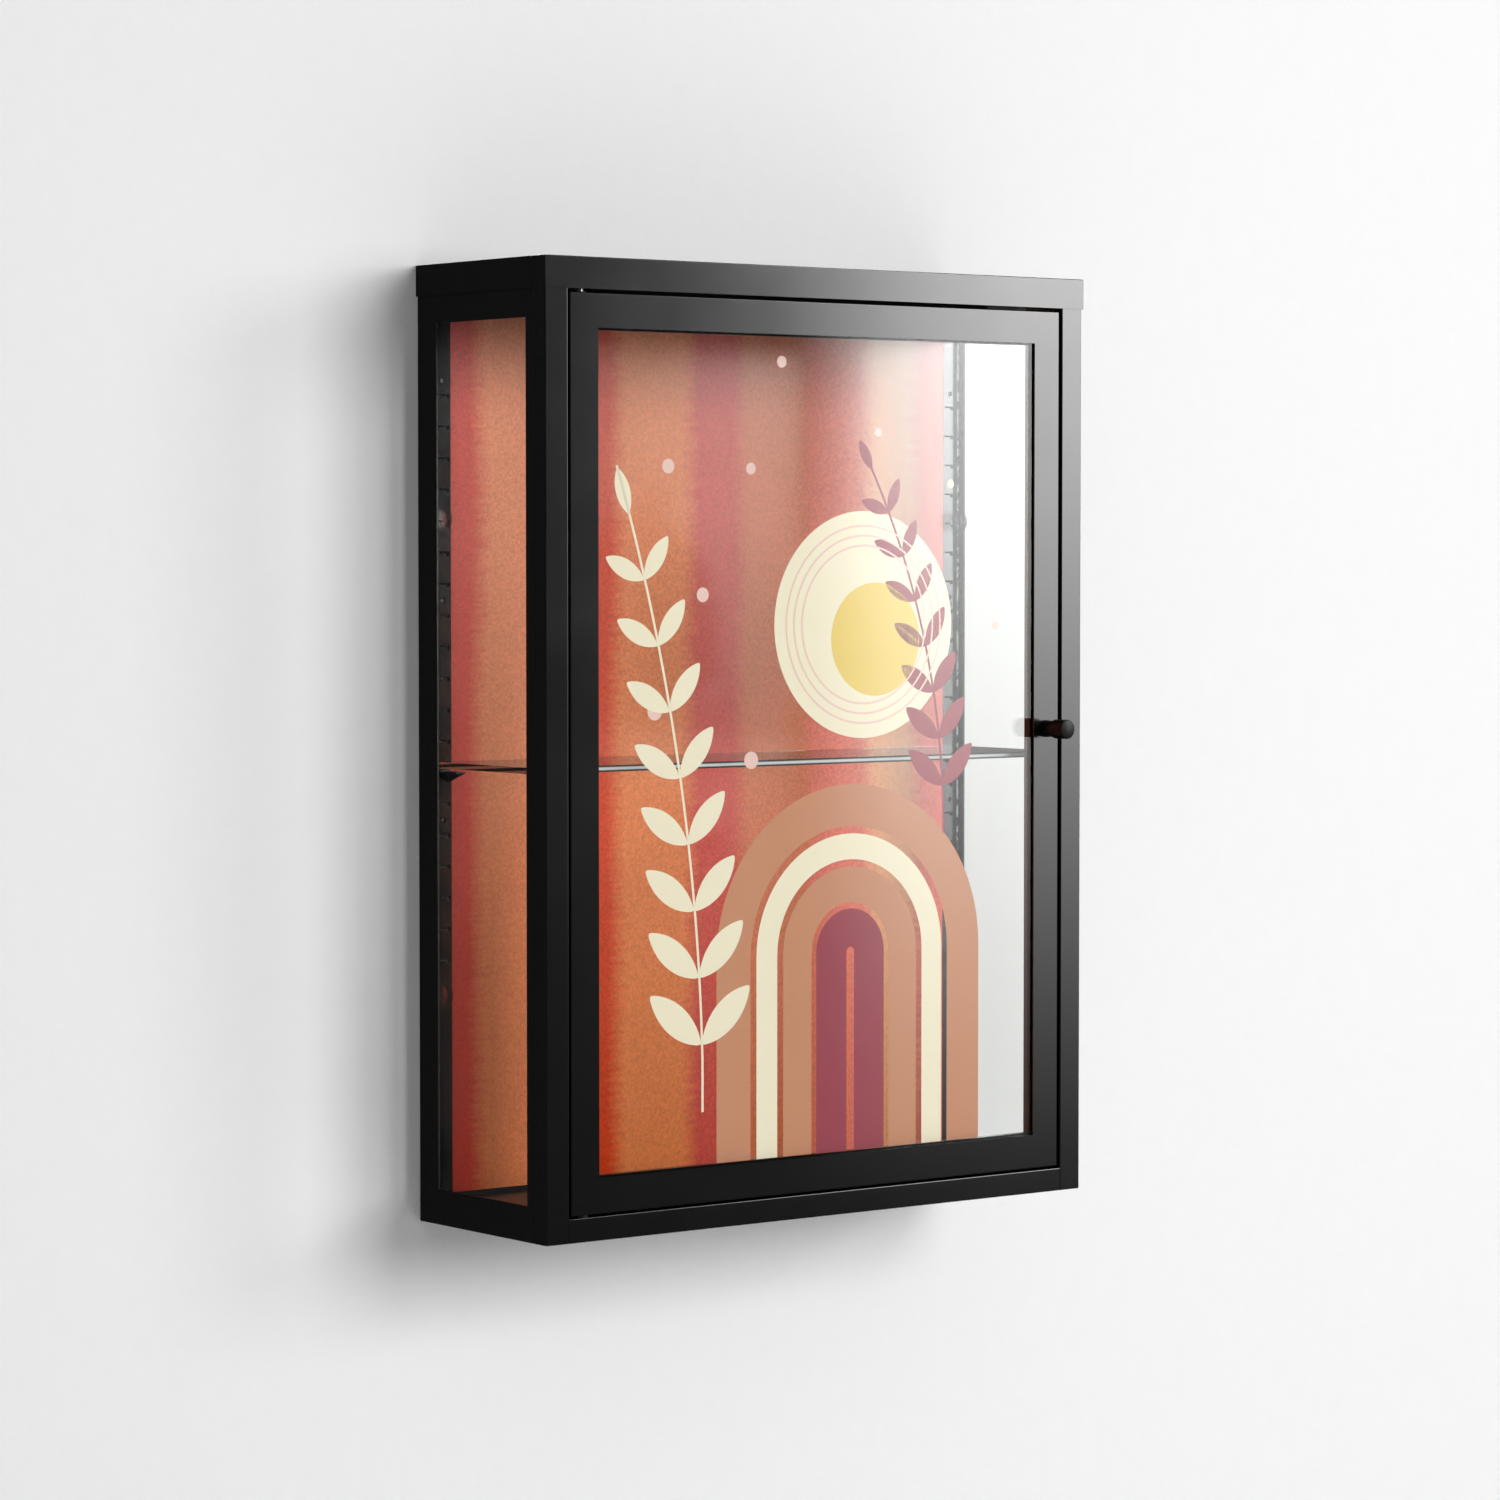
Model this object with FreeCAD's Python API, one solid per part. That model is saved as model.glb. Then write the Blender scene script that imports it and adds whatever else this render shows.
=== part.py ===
import FreeCAD, Part
import math
import os

from FreeCAD import Vector

# Wall-hung display cabinet of folded sheet steel with glazed sides, a pivoted glazed door and a glass shelf.
# Millimetres. Origin on the wall, centred on the four outer wall screws. X right, Y into the wall, Z up.

# Carcass
WIDTH = 548.0
DEPTH = 177.0
HEIGHT = 764.0
SHEET = 1.2
EASE = 0.1
BEND = 0.9
COVER_SKIRT = 24.8
COVER_LIP = 12.0
BOTTOM_RAIL = 19.0
STILE = 21.6
STILE_DEPTH = 26.3
REAR_STILE = 27.0
REAR_FLANGE = 20.0
SIDE_SILL = 28.4
SIDE_HEAD = 46.8
COVER_POST_R = 4.0
COVER_POST_INSET_X = 60.0
COVER_POST_INSET_Y = 45.0
COVER_SCREW_R = 2.0
COVER_HEAD_R = 3.6
COVER_HEAD = 2.0

# Back
BACK_SETBACK = 19.7
PRINT_GAP = 0.2
PRINT_LIFT = 4.5
STANDARD_WIDTH = 12.4
STANDARD_INSET = 8.0
SLOT_PITCH = 25.0
SLOT_COUNT = 19
SLOT_TOP_DROP = 79.2
SLIT_EDGE = 1.5
SLIT_LENGTH = 6.3
SLIT_HEIGHT = 1.5
EYE = 3.4
WALL_HOLE_R = 2.25
WALL_HOLE_INSET = 13.0
WALL_HOLE_SLOTS = (0, 7, 14)
SPACER_R = 4.5

# Side panes
PANE = 4.0
SEAL = 0.8
SEAL_MARGIN = 0.6
PANE_LAP = 6.0
CLIP_R = 7.5
CLIP_THICK = 5.6
CLIP_FROM_END = 155.0
CLIP_FOOT = 1.8
CLIP_FOOT_HEIGHT = 8.0
EDGE_STRIP = 1.8
EDGE_STRIP_LIP = 4.5
BLOCK_LENGTH = 20.0
BLOCK_SPACING = 76.0

# Shelf
SHELF = 5.0
SHELF_SLOT_COUNT = 12
SHELF_FRONT = 29.0
SHELF_SIDE_GAP = 8.0
SHELF_BACK_GAP = 0.5
BRACKET_PLATE = 1.2
BRACKET_REACH = 23.0
BRACKET_DROP = 8.0
HOOK = 2.0
HOOK_DROP = 5.0
HOOK_EASE = 0.15
FRONT_BRACKET_START = 18.5
FRONT_BRACKET_END = 35.5
FRONT_BRACKET_FLANGE = 11.0
FRONT_EYE_SETBACK = 22.4
PAD = 2.4
PAD_R = 3.2

# Door
DOOR_DEPTH = 14.0
DOOR_LEFT_GAP = 1.8
DOOR_RIGHT_GAP = 3.0
DOOR_TOP_GAP = 3.0
DOOR_BOTTOM_GAP = 1.9
DOOR_RAIL = 26.8
DOOR_FOOT_RAIL = 28.0
DOOR_LIP = 10.0
DOOR_PANE = 4.0
BEAD_OVERHANG = 1.5
BEAD_LEG = 10.0
BEAD_DEPTH = 6.5
POST_R = 1.5
POST_CLEAR = 0.4
BEAD_SCREW_R = 1.0
BEAD_HEAD_R = 1.9
BEAD_HEAD = 1.2
BEAD_SCREW_END = 60.0
TAB_R = 7.5
TAB_REACH = 3.0
TAB_THICK = 2.5
TAB_FROM_END = 147.7

# Pivots
PIVOT_FROM_EDGE = 13.0
PIVOT_SETBACK = 6.0
PIN_R = 3.0
PIN_RUN = 0.06
PIN_HEAD_R = 4.5
PIN_HEAD = 2.0
PIN_REACH = 7.0
BUSH_R = 4.5
BUSH_LENGTH = 8.0
BUSH_FLANGE_R = 5.6
BUSH_FLANGE = 0.8
FIT = 0.03
PIVOT_PLATE = 2.5
PIVOT_PLATE_LENGTH = 34.0
PIVOT_PLATE_WIDTH = 20.0

# Knob and catch
KNOB_RISE = 10.4
KNOB_R = 8.0
KNOB_NECK_R = 6.8
KNOB_FOOT_R = 7.2
KNOB_FOOT = 1.6
KNOB_NECK = 11.0
KNOB_HEAD = 14.4
KNOB_DOME = 0.9
KNOB_EDGE = 1.0
KNOB_SCREW_R = 1.6
KNOB_SCREW = 10.0
KNOB_SCREW_HEAD_R = 2.8
KNOB_SCREW_HEAD = 2.0
CATCH_HEIGHT = 13.0
CATCH_DEPTH = 11.0
CATCH_LENGTH = 40.0
CATCH_INSET = 45.0
CATCH_GAP = 0.3
MAGNET_HEIGHT = 7.0
MAGNET_LENGTH = 22.0
MAGNET_DEPTH = 4.5
STRIKE = 1.2
STRIKE_HEIGHT = 9.0
STRIKE_LENGTH = 30.0
STRIKE_INSET = 1.0
CATCH_SCREW_R = 1.5
CATCH_HEAD_R = 2.6
CATCH_HEAD = 1.8
CATCH_SCREW_SPACING = 33.0

# Planes and levels that follow from the sizes
HALF = WIDTH / 2
FRONT = -DEPTH
WALL = 0.0
top_slot_height = HEIGHT - COVER_SKIRT - SLOT_TOP_DROP
wall_hole_heights = [top_slot_height + SLOT_PITCH / 2 - n * SLOT_PITCH for n in WALL_HOLE_SLOTS]
BASE = -(wall_hole_heights[0] + wall_hole_heights[-1]) / 2
TOP = BASE + HEIGHT
FLOOR = BASE + BOTTOM_RAIL
CEILING = TOP - COVER_SKIRT
SIDE_TOP = TOP - SHEET - EASE
BACK_FACE = WALL - BACK_SETBACK
BACK_REAR = BACK_FACE + 2 * SHEET
slot_levels = [BASE + top_slot_height - n * SLOT_PITCH for n in range(SLOT_COUNT)]
wall_hole_levels = [BASE + height for height in wall_hole_heights]
left_standard_x = -HALF + STANDARD_INSET
right_standard_x = HALF - STANDARD_INSET - STANDARD_WIDTH

window_front = FRONT + STILE_DEPTH
window_rear = WALL - REAR_STILE
window_bottom = BASE + SIDE_SILL
window_top = TOP - SIDE_HEAD

DOOR_L = -HALF + STILE + DOOR_LEFT_GAP
DOOR_R = HALF - STILE - DOOR_RIGHT_GAP
DOOR_B = FLOOR + DOOR_BOTTOM_GAP
DOOR_T = CEILING - DOOR_TOP_GAP
light_l = DOOR_L + DOOR_RAIL
light_r = DOOR_R - DOOR_RAIL
light_b = DOOR_B + DOOR_FOOT_RAIL
light_t = DOOR_T - DOOR_RAIL
pane_front = FRONT + SHEET + SEAL
pane_back = pane_front + DOOR_PANE

pivot_x = DOOR_L + PIVOT_FROM_EDGE
pivot_y = FRONT + PIVOT_SETBACK
knob_x = DOOR_R - DOOR_RAIL / 2
knob_z = (DOOR_B + DOOR_T) / 2 + KNOB_RISE

slit_top = slot_levels[SHELF_SLOT_COUNT] + EYE / 2
bracket_top = slit_top - HOOK_EASE
shelf_bottom = bracket_top + PAD


def box(x0, x1, y0, y1, z0, z1):
    return Part.makeBox(x1 - x0, y1 - y0, z1 - z0, Vector(x0, y0, z0))


def rod(radius, start, end):
    axis = Vector(*end) - Vector(*start)
    return Part.makeCylinder(radius, axis.Length, Vector(*start), axis)


def tube(outer, inner, start, end):
    return rod(outer, start, end).cut(rod(inner, start, end))


def join(first, *others):
    return first.fuse(list(others)).removeSplitter()


def mirrored(shape):
    return shape.mirror(Vector(0, 0, 0), Vector(1, 0, 0))


def round_edges(shape, radius, places):
    """Rounds the edges that pass through the given points."""
    chosen = []
    for place in places:
        spot = Part.Vertex(Vector(*place))
        chosen.append(min(shape.Edges, key=lambda edge: edge.distToShape(spot)[0]))
    return shape.makeFillet(radius, chosen)


def export(node, *solids):
    shape = solids[0] if len(solids) == 1 else Part.makeCompound(list(solids))
    shape.exportStep(f"parts/{node}.step")


def slot_cutter(strip_x, level):
    """One shelf slot: a thin slit with a square eye hanging at its right end."""
    y0 = BACK_FACE - SHEET
    y1 = BACK_REAR + SHEET
    top = level + EYE / 2
    x0 = strip_x + SLIT_EDGE
    slit = box(x0, x0 + SLIT_LENGTH, y0, y1, top - SLIT_HEIGHT, top)
    eye = box(x0 + SLIT_LENGTH, x0 + SLIT_LENGTH + EYE, y0, y1, top - EYE, top)
    return join(slit, eye)


def wall_hole_cutters():
    places = [(side * (HALF - WALL_HOLE_INSET), level) for side in (-1, 1) for level in wall_hole_levels]
    return [rod(WALL_HOLE_R, (x, BACK_FACE - SHEET, z), (x, WALL + SHEET, z)) for x, z in places]


# Side frames
def side_frame():
    """Left side: a window wall, a boxed front stile and a flange on the wall."""
    x0 = -HALF
    wall = box(x0, x0 + SHEET, FRONT, WALL, BASE, SIDE_TOP)
    face = box(x0, x0 + STILE, FRONT, FRONT + SHEET, BASE, SIDE_TOP)
    inner = box(x0 + STILE - SHEET, x0 + STILE, FRONT, window_front, BASE, SIDE_TOP)
    flange = box(x0, x0 + REAR_FLANGE, WALL - SHEET, WALL, BASE, SIDE_TOP)
    frame = join(wall, face, inner, flange)
    middle = (BASE + SIDE_TOP) / 2
    frame = round_edges(frame, BEND, [(x0, FRONT, middle), (x0 + STILE, FRONT, middle), (x0, WALL, middle)])
    window = box(x0 - SHEET, x0 + 2 * SHEET, window_front, window_rear, window_bottom, window_top)
    eye_y = FRONT + FRONT_EYE_SETBACK
    eyes = [box(x0 + STILE - 2 * SHEET, x0 + STILE + SHEET, eye_y - EYE / 2, eye_y + EYE / 2,
                level - EYE / 2, level + EYE / 2) for level in slot_levels]
    return frame.cut([window] + eyes + wall_hole_cutters())


catch_front = FRONT + DOOR_DEPTH + STRIKE + CATCH_GAP
catch_back = catch_front + CATCH_DEPTH
catch_x = DOOR_R - CATCH_INSET
catch_screw_y = (catch_front + MAGNET_DEPTH + catch_back) / 2
catch_screw_columns = [catch_x - CATCH_SCREW_SPACING / 2, catch_x + CATCH_SCREW_SPACING / 2]
catch_holes = [rod(CATCH_SCREW_R + FIT, (x, catch_screw_y, CEILING - CATCH_HEIGHT - SHEET),
                   (x, catch_screw_y, CEILING + 2 * SHEET)) for x in catch_screw_columns]


# Pans above and below the door
def pan(face, end):
    """A tray with its flat sheet at face and its flanges running to end, notched round the stiles."""
    outer = HALF - SHEET - EASE
    between = HALF - STILE - EASE
    step = window_front + EASE
    rear = WALL - SHEET - EASE
    away = SHEET if end > face else -SHEET
    s0, s1 = sorted((face, face + away))
    f0, f1 = sorted((face, end))
    pieces = [
        box(-outer, outer, step, rear, s0, s1),
        box(-between, between, FRONT, step, s0, s1),
        box(-between, between, FRONT, FRONT + SHEET, f0, f1),
        box(-outer, -outer + SHEET, step, rear, f0, f1),
        box(outer - SHEET, outer, step, rear, f0, f1),
        box(-outer, outer, rear - SHEET, rear, f0, f1),
    ]
    tray = join(*pieces)
    tray = round_edges(tray, BEND, [(0, FRONT, face)])
    pin_hole = rod(PIN_R + FIT, (pivot_x, pivot_y, f0 - SHEET), (pivot_x, pivot_y, f1 + SHEET))
    return tray.cut(pin_hole)


cover_post_places = [(side * (HALF - COVER_POST_INSET_X), y) for side in (-1, 1)
                     for y in (FRONT + COVER_POST_INSET_Y, WALL - COVER_POST_INSET_Y)]


def top_pan():
    holes = [rod(COVER_SCREW_R + FIT, (x, y, CEILING - SHEET), (x, y, CEILING + 2 * SHEET))
             for x, y in cover_post_places]
    return pan(CEILING, SIDE_TOP).cut(holes + catch_holes)


# Top cover
def top_cover():
    out = HALF + EASE + SHEET
    face = FRONT - EASE - SHEET
    inside = box(-out + SHEET, out - SHEET, face + SHEET, WALL + SHEET, CEILING - SHEET, TOP - SHEET)
    shell = box(-out, out, face, WALL, CEILING, TOP)
    middle = (CEILING + TOP) / 2
    shell = round_edges(shell, BEND, [(0, face, TOP), (-out, face / 2, TOP), (out, face / 2, TOP),
                                      (-out, face, middle), (out, face, middle)])
    lip_half = HALF - REAR_FLANGE - EASE
    lip = box(-lip_half, lip_half, WALL - SHEET, WALL, TOP - SHEET - COVER_LIP, TOP - SHEET)
    return join(shell.cut(inside), lip)


def cover_posts():
    low = CEILING + SHEET
    bore_top = low + (TOP - SHEET - low) / 2
    return [rod(COVER_POST_R, (x, y, low), (x, y, TOP - SHEET)).cut(
        rod(COVER_SCREW_R + FIT, (x, y, low), (x, y, bore_top))) for x, y in cover_post_places]


def cover_screws():
    low = CEILING + SHEET
    tip = low + (TOP - SHEET - low) / 2 - SHEET
    under = CEILING - COVER_HEAD
    return [join(rod(COVER_HEAD_R, (x, y, under), (x, y, CEILING)),
                 rod(COVER_SCREW_R, (x, y, under), (x, y, tip)))
            for x, y in cover_post_places]


# Back panel, printed sheet and shelf standards
def back_panel():
    outer = HALF - SHEET - EASE
    low = FLOOR + EASE
    high = CEILING - EASE
    rear = WALL - SHEET - EASE
    sheet = box(-outer, outer, BACK_FACE + SHEET, BACK_REAR, low, high)
    left = box(-outer, -outer + SHEET, BACK_FACE + SHEET, rear, low, high)
    right = box(outer - SHEET, outer, BACK_FACE + SHEET, rear, low, high)
    slots = [slot_cutter(x, level) for x in (left_standard_x, right_standard_x) for level in slot_levels]
    return join(sheet, left, right).cut(slots + wall_hole_cutters())


def printed_panel():
    x0 = left_standard_x + STANDARD_WIDTH + PRINT_GAP
    x1 = right_standard_x - PRINT_GAP
    return box(x0, x1, BACK_FACE, BACK_FACE + SHEET, FLOOR + PRINT_LIFT, CEILING - PRINT_LIFT)


def shelf_standard(strip_x):
    right = strip_x + STANDARD_WIDTH
    strip = box(strip_x, right, BACK_FACE, BACK_FACE + SHEET, FLOOR + EASE, CEILING - EASE)
    return strip.cut([slot_cutter(strip_x, level) for level in slot_levels] + wall_hole_cutters())


def wall_spacers():
    return [tube(SPACER_R, WALL_HOLE_R, (side * (HALF - WALL_HOLE_INSET), BACK_REAR, z),
                 (side * (HALF - WALL_HOLE_INSET), WALL - SHEET, z))
            for side in (-1, 1) for z in wall_hole_levels]


# Side panes with their seals, clips, edge strips and setting blocks
side_pane_x = -HALF + SHEET + SEAL
side_pane_in = side_pane_x + PANE


def side_glass():
    return box(side_pane_x, side_pane_in, window_front - PANE_LAP, window_rear + PANE_LAP,
               window_bottom - PANE_LAP, window_top + PANE_LAP)


def side_seal():
    x0 = -HALF + SHEET
    lap = PANE_LAP - SEAL_MARGIN
    ring = box(x0, x0 + SEAL, window_front - lap, window_rear + lap, window_bottom - lap, window_top + lap)
    gap = SEAL_MARGIN
    hole = box(x0 - SHEET, x0 + 2 * SEAL, window_front - gap, window_rear + gap,
               window_bottom - gap, window_top + gap)
    return ring.cut(hole)


def side_clips():
    """Clear round clips on the pane's rear edge, each with a foot on the side wall."""
    y = BACK_FACE - EASE - CLIP_R
    foot_rear = BACK_FACE + SHEET - EASE
    foot_front = window_rear + PANE_LAP + EASE
    clips = []
    for z in (window_bottom + CLIP_FROM_END, window_top - CLIP_FROM_END):
        disc = rod(CLIP_R, (side_pane_in, y, z), (side_pane_in + CLIP_THICK, y, z))
        z0 = z - CLIP_FOOT_HEIGHT / 2
        z1 = z + CLIP_FOOT_HEIGHT / 2
        foot = box(-HALF + SHEET, side_pane_in + CLIP_FOOT, foot_front, foot_rear, z0, z1)
        bridge = box(side_pane_in, side_pane_in + CLIP_FOOT, y, foot_front + EASE, z0, z1)
        clips.append(join(disc, foot, bridge))
    return clips


def edge_strip():
    """Soft strip over the pane's front edge, hidden in the stile."""
    edge = window_front - PANE_LAP - EASE
    z0 = window_bottom - PANE_LAP
    z1 = window_top + PANE_LAP
    nose = box(-HALF + SHEET, side_pane_in + EASE + EDGE_STRIP, edge - EDGE_STRIP, edge, z0, z1)
    leg_x = side_pane_in + EASE
    leg = box(leg_x, leg_x + EDGE_STRIP, edge - EDGE_STRIP, edge + EDGE_STRIP_LIP, z0, z1)
    return join(nose, leg)


def setting_blocks():
    middle = (window_front + window_rear) / 2
    blocks = []
    for y in (middle - BLOCK_SPACING / 2, middle + BLOCK_SPACING / 2):
        block = box(side_pane_x, side_pane_in, y - BLOCK_LENGTH / 2, y + BLOCK_LENGTH / 2,
                    FLOOR, window_bottom - PANE_LAP)
        blocks += [block, mirrored(block)]
    return blocks


# Shelf, brackets and pads
def glass_shelf():
    half = HALF - SHELF_SIDE_GAP
    rear = BACK_FACE - SHELF_BACK_GAP
    return box(-half, half, FRONT + SHELF_FRONT, rear, shelf_bottom, shelf_bottom + SHELF)


def rear_bracket(strip_x):
    """Flange in the slit and a gusset whose hook drops behind the square eye."""
    x0 = strip_x + SLIT_EDGE + HOOK_EASE
    x1 = strip_x + SLIT_EDGE + SLIT_LENGTH + EYE - HOOK_EASE
    tip = BACK_FACE - BRACKET_REACH
    under = bracket_top - BRACKET_PLATE
    flange = box(x0, x1, tip, BACK_REAR + HOOK, under, bracket_top)
    gusset_x = x1 - (EYE - 2 * HOOK_EASE + BRACKET_PLATE) / 2
    outline = Part.makePolygon([
        Vector(gusset_x, tip, under), Vector(gusset_x, BACK_FACE, under - BRACKET_DROP),
        Vector(gusset_x, BACK_FACE, under), Vector(gusset_x, tip, under)])
    gusset = Part.Face(outline).extrude(Vector(BRACKET_PLATE, 0, 0))
    behind = BACK_REAR + HOOK_EASE
    hook = box(gusset_x, gusset_x + BRACKET_PLATE, behind, BACK_REAR + HOOK, under - HOOK_DROP, under)
    return join(flange, gusset, hook)


def front_bracket():
    """Left front bracket: a plate hooked into the stile's eye, with a flange behind the stile."""
    x0 = -HALF + STILE
    under = bracket_top - BRACKET_PLATE
    y0 = FRONT + FRONT_BRACKET_START
    y1 = FRONT + FRONT_BRACKET_END
    plate = box(x0, x0 + BRACKET_PLATE, y0, y1, under - BRACKET_DROP, bracket_top)
    flange = box(x0 - FRONT_BRACKET_FLANGE, x0 + BRACKET_PLATE, window_front + EASE, y1, under, bracket_top)
    eye_y = FRONT + FRONT_EYE_SETBACK
    half = EYE / 2 - HOOK_EASE
    behind = x0 - SHEET - HOOK_EASE
    tongue = box(behind - HOOK, x0, eye_y - half, eye_y + half, under, bracket_top)
    hook = box(behind - HOOK, behind, eye_y - half, eye_y + half, under - HOOK_DROP, under)
    return join(plate, flange, tongue, hook)


def shelf_pads():
    pads = []
    for strip_x in (left_standard_x, right_standard_x):
        x = strip_x + SLIT_EDGE + (SLIT_LENGTH + EYE) / 2
        y = BACK_FACE - BRACKET_REACH / 2
        pads.append(rod(PAD_R, (x, y, bracket_top), (x, y, shelf_bottom)))
    for side in (-1, 1):
        x = side * (HALF - STILE + FRONT_BRACKET_FLANGE / 2)
        y = FRONT + (SHELF_FRONT + FRONT_BRACKET_END) / 2
        pads.append(rod(PAD_R, (x, y, bracket_top), (x, y, shelf_bottom)))
    return pads


# Pivots
def pivot_plate(sheet_face, away):
    """Doubler plate on the hidden side of a pan's sheet; away is the direction it thickens."""
    z0, z1 = sorted((sheet_face, sheet_face + away * PIVOT_PLATE))
    x0 = -HALF + STILE + SHEET
    y0 = FRONT + SHEET + EASE
    plate = box(x0, x0 + PIVOT_PLATE_LENGTH, y0, y0 + PIVOT_PLATE_WIDTH, z0, z1)
    return plate.cut(rod(PIN_R + FIT, (pivot_x, pivot_y, z0 - SHEET), (pivot_x, pivot_y, z1 + SHEET)))


def pivot_pin(plate_face, tip, away):
    """Headed pin: the head sits on the plate and the shank runs to tip inside the door."""
    head_end = plate_face + away * PIN_HEAD
    shank = rod(PIN_R, (pivot_x, pivot_y, head_end), (pivot_x, pivot_y, tip))
    return join(rod(PIN_HEAD_R, (pivot_x, pivot_y, head_end), (pivot_x, pivot_y, plate_face)), shank)


def pivot_bush(edge, outward):
    """Flanged bush in the door's edge; outward is the direction its flange stands out."""
    seat = (pivot_x, pivot_y, edge)
    inner_end = (pivot_x, pivot_y, edge - outward * BUSH_LENGTH)
    flange_end = (pivot_x, pivot_y, edge + outward * BUSH_FLANGE)
    body = rod(BUSH_R, seat, inner_end)
    flange = rod(BUSH_FLANGE_R, seat, flange_end)
    bore = rod(PIN_R + PIN_RUN, flange_end, inner_end)
    return join(body, flange).cut(bore)


def pivot_washer():
    top = DOOR_B - BUSH_FLANGE - EASE
    return tube(BUSH_FLANGE_R, PIN_R + FIT, (pivot_x, pivot_y, FLOOR), (pivot_x, pivot_y, top))


# Door
def door_frame():
    """Folded frame: a face with the window, a return round the edge and a lip at the back."""
    back = FRONT + DOOR_DEPTH
    block = box(DOOR_L, DOOR_R, FRONT, back, DOOR_B, DOOR_T)
    middle = (DOOR_B + DOOR_T) / 2
    block = round_edges(block, BEND, [(DOOR_L, FRONT, middle), (DOOR_R, FRONT, middle),
                                      (0, FRONT, DOOR_B), (0, FRONT, DOOR_T)])
    hollow = box(DOOR_L + SHEET, DOOR_R - SHEET, FRONT + SHEET, back - SHEET, DOOR_B + SHEET, DOOR_T - SHEET)
    rear = box(DOOR_L + DOOR_LIP, DOOR_R - DOOR_LIP, FRONT + SHEET, back + SHEET,
               DOOR_B + DOOR_LIP, DOOR_T - DOOR_LIP)
    light = box(light_l, light_r, FRONT - SHEET, back, light_b, light_t)
    pivots = rod(BUSH_R + FIT, (pivot_x, pivot_y, DOOR_B - SHEET), (pivot_x, pivot_y, DOOR_B + 2 * SHEET))
    upper = rod(BUSH_R + FIT, (pivot_x, pivot_y, DOOR_T - 2 * SHEET), (pivot_x, pivot_y, DOOR_T + SHEET))
    knob_hole = rod(KNOB_SCREW_R + FIT, (knob_x, FRONT - SHEET, knob_z), (knob_x, FRONT + 2 * SHEET, knob_z))
    return block.cut([hollow, rear, light, pivots, upper, knob_hole])


def door_glass():
    return box(light_l - PANE_LAP, light_r + PANE_LAP, pane_front, pane_back,
               light_b - PANE_LAP, light_t + PANE_LAP)


def door_seal():
    lap = PANE_LAP - SEAL_MARGIN
    gap = SEAL_MARGIN
    y0 = FRONT + SHEET
    ring = box(light_l - lap, light_r + lap, y0, pane_front, light_b - lap, light_t + lap)
    hole = box(light_l - gap, light_r + gap, y0 - SHEET, pane_front + SHEET, light_b - gap, light_t + gap)
    return ring.cut(hole)


post_out = PANE_LAP + POST_CLEAR + POST_R
post_levels = [light_b + BEAD_SCREW_END, light_t - BEAD_SCREW_END]
post_columns = [light_l + BEAD_SCREW_END, light_r - BEAD_SCREW_END]
side_post_places = [(x, z) for x in (light_l - post_out, light_r + post_out) for z in post_levels]
rail_post_places = [(x, z) for z in (light_b - post_out, light_t + post_out) for x in post_columns]
bead_post_places = side_post_places + rail_post_places


def bead_holes():
    return [rod(BEAD_SCREW_R + FIT, (x, pane_back - DOOR_PANE, z), (x, pane_back + 2 * SHEET, z))
            for x, z in bead_post_places]


def door_bead_left():
    """Glazing angle behind the left edge of the pane, full height."""
    x_in = light_l + BEAD_OVERHANG
    z0 = light_b - BEAD_LEG
    z1 = light_t + BEAD_LEG
    leg = box(light_l - BEAD_LEG, x_in, pane_back, pane_back + SHEET, z0, z1)
    web = box(x_in - SHEET, x_in, pane_back, pane_back + BEAD_DEPTH, z0, z1)
    return join(leg, web).cut(bead_holes())


def door_bead_right():
    x_in = light_r - BEAD_OVERHANG
    z0 = light_b - BEAD_LEG
    z1 = light_t + BEAD_LEG
    leg = box(x_in, light_r + BEAD_LEG, pane_back, pane_back + SHEET, z0, z1)
    web = box(x_in, x_in + SHEET, pane_back, pane_back + BEAD_DEPTH, z0, z1)
    return join(leg, web).cut(bead_holes())


def door_rail_bead(edge, inward):
    """Glazing angle behind the top or bottom edge of the pane, between the upright ones."""
    x0 = light_l + BEAD_OVERHANG + EASE
    x1 = light_r - BEAD_OVERHANG - EASE
    z_in = edge + inward * BEAD_OVERHANG
    z_leg = sorted((edge - inward * BEAD_LEG, z_in))
    z_web = sorted((z_in - inward * SHEET, z_in))
    leg = box(x0, x1, pane_back, pane_back + SHEET, *z_leg)
    web = box(x0, x1, pane_back, pane_back + BEAD_DEPTH, *z_web)
    return join(leg, web).cut(bead_holes())


def bead_posts():
    y0 = FRONT + SHEET
    return [rod(POST_R, (x, y0, z), (x, pane_back, z)).cut(
        rod(BEAD_SCREW_R + FIT, (x, y0 + SHEET, z), (x, pane_back, z))) for x, z in bead_post_places]


def bead_screws():
    y_seat = pane_back + SHEET
    return [join(rod(BEAD_HEAD_R, (x, y_seat, z), (x, y_seat + BEAD_HEAD, z)),
                 rod(BEAD_SCREW_R, (x, FRONT + 3 * SHEET, z), (x, y_seat + BEAD_HEAD, z)))
            for x, z in bead_post_places]


def door_tabs():
    """Clear half-round tabs on the glazing angles, pressing on the back of the pane."""
    tabs = []
    x_in = light_l + BEAD_OVERHANG
    x_centre = x_in + TAB_REACH - TAB_R
    for z in (light_b + TAB_FROM_END, light_t - TAB_FROM_END):
        disc = rod(TAB_R, (x_centre, pane_back, z), (x_centre, pane_back + TAB_THICK, z))
        tab = disc.common(box(x_in, x_in + TAB_R, pane_back, pane_back + TAB_THICK, z - TAB_R, z + TAB_R))
        tabs.append(tab)
    shift = Vector(light_l + light_r, 0, 0)
    return tabs + [mirrored(tab).translated(shift) for tab in tabs]


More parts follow.
